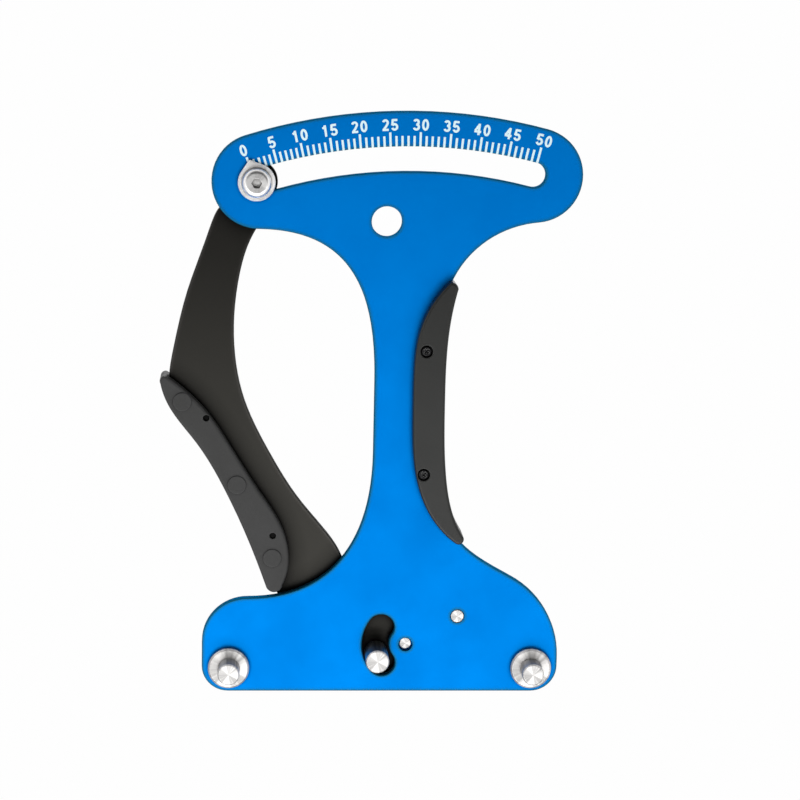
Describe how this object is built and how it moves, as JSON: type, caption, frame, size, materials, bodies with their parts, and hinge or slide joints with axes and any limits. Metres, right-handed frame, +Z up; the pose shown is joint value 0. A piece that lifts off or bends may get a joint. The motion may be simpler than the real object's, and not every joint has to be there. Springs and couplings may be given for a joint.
{
  "type": "spoke tension meter",
  "caption": "Hand-held meter for bicycle spoke tension: a flat plate with fixed posts and a curved scale, and a sprung lever whose post bends the spoke and whose pointer reads the scale.",
  "frame": {"origin": "centre of the hang hole, halfway through the front plate's thickness", "axes": "+Z up along the neck towards the scale, +X to the right as the scale is read, -Y out of the face with the scale and the posts"},
  "size_m": [0.1372, 0.0291, 0.1951],
  "materials": {
    "blue_plate": "blue anodised, satin",
    "black_lever": "black anodised, satin",
    "turned_steel": "turned, bright",
    "zinc_steel": "zinc plated",
    "spring_wire": "drawn spring steel",
    "brass_bearing": "turned",
    "pale_nylon": "natural nylon",
    "grip_plastic": "matte, moulded",
    "black_screws": "black oxide"
  },
  "bodies": {
    "frame": {"body_plate": "blue_plate", "fixed_post_left": "turned_steel", "fixed_post_right": "turned_steel", "fixed_post_washers": "zinc_steel", "fixed_post_screws": "zinc_steel", "pivot_pin": "turned_steel", "pivot_spacer": "brass_bearing", "pivot_washer": "zinc_steel", "pivot_retaining_ring": "zinc_steel", "spring_anchor_pin": "turned_steel", "torsion_spring": "spring_wire", "body_grip_front": "grip_plastic", "body_grip_rear": "grip_plastic", "body_grip_screws": "black_screws"},
    "lever": {"lever_plate": "black_lever", "pivot_bush": "brass_bearing", "moving_post": "turned_steel", "lever_spring_stud": "turned_steel", "pointer_bush": "pale_nylon", "pointer": "turned_steel", "pointer_screw": "turned_steel", "pointer_nut": "zinc_steel", "lever_grip_front": "grip_plastic", "lever_grip_rear": "grip_plastic", "lever_grip_screws": "black_screws"}
  },
  "joints": [
    {"name": "lever_pivot", "type": "hinge", "parent": "frame", "child": "lever", "pos_m": [0.0091, 0, -0.14285], "axis": [0, 1, 0], "range_deg": [0, 32], "stiffness_Nm_per_rad": 0.81, "springref_deg": -22.92, "deforming": ["torsion_spring"]}
  ]
}
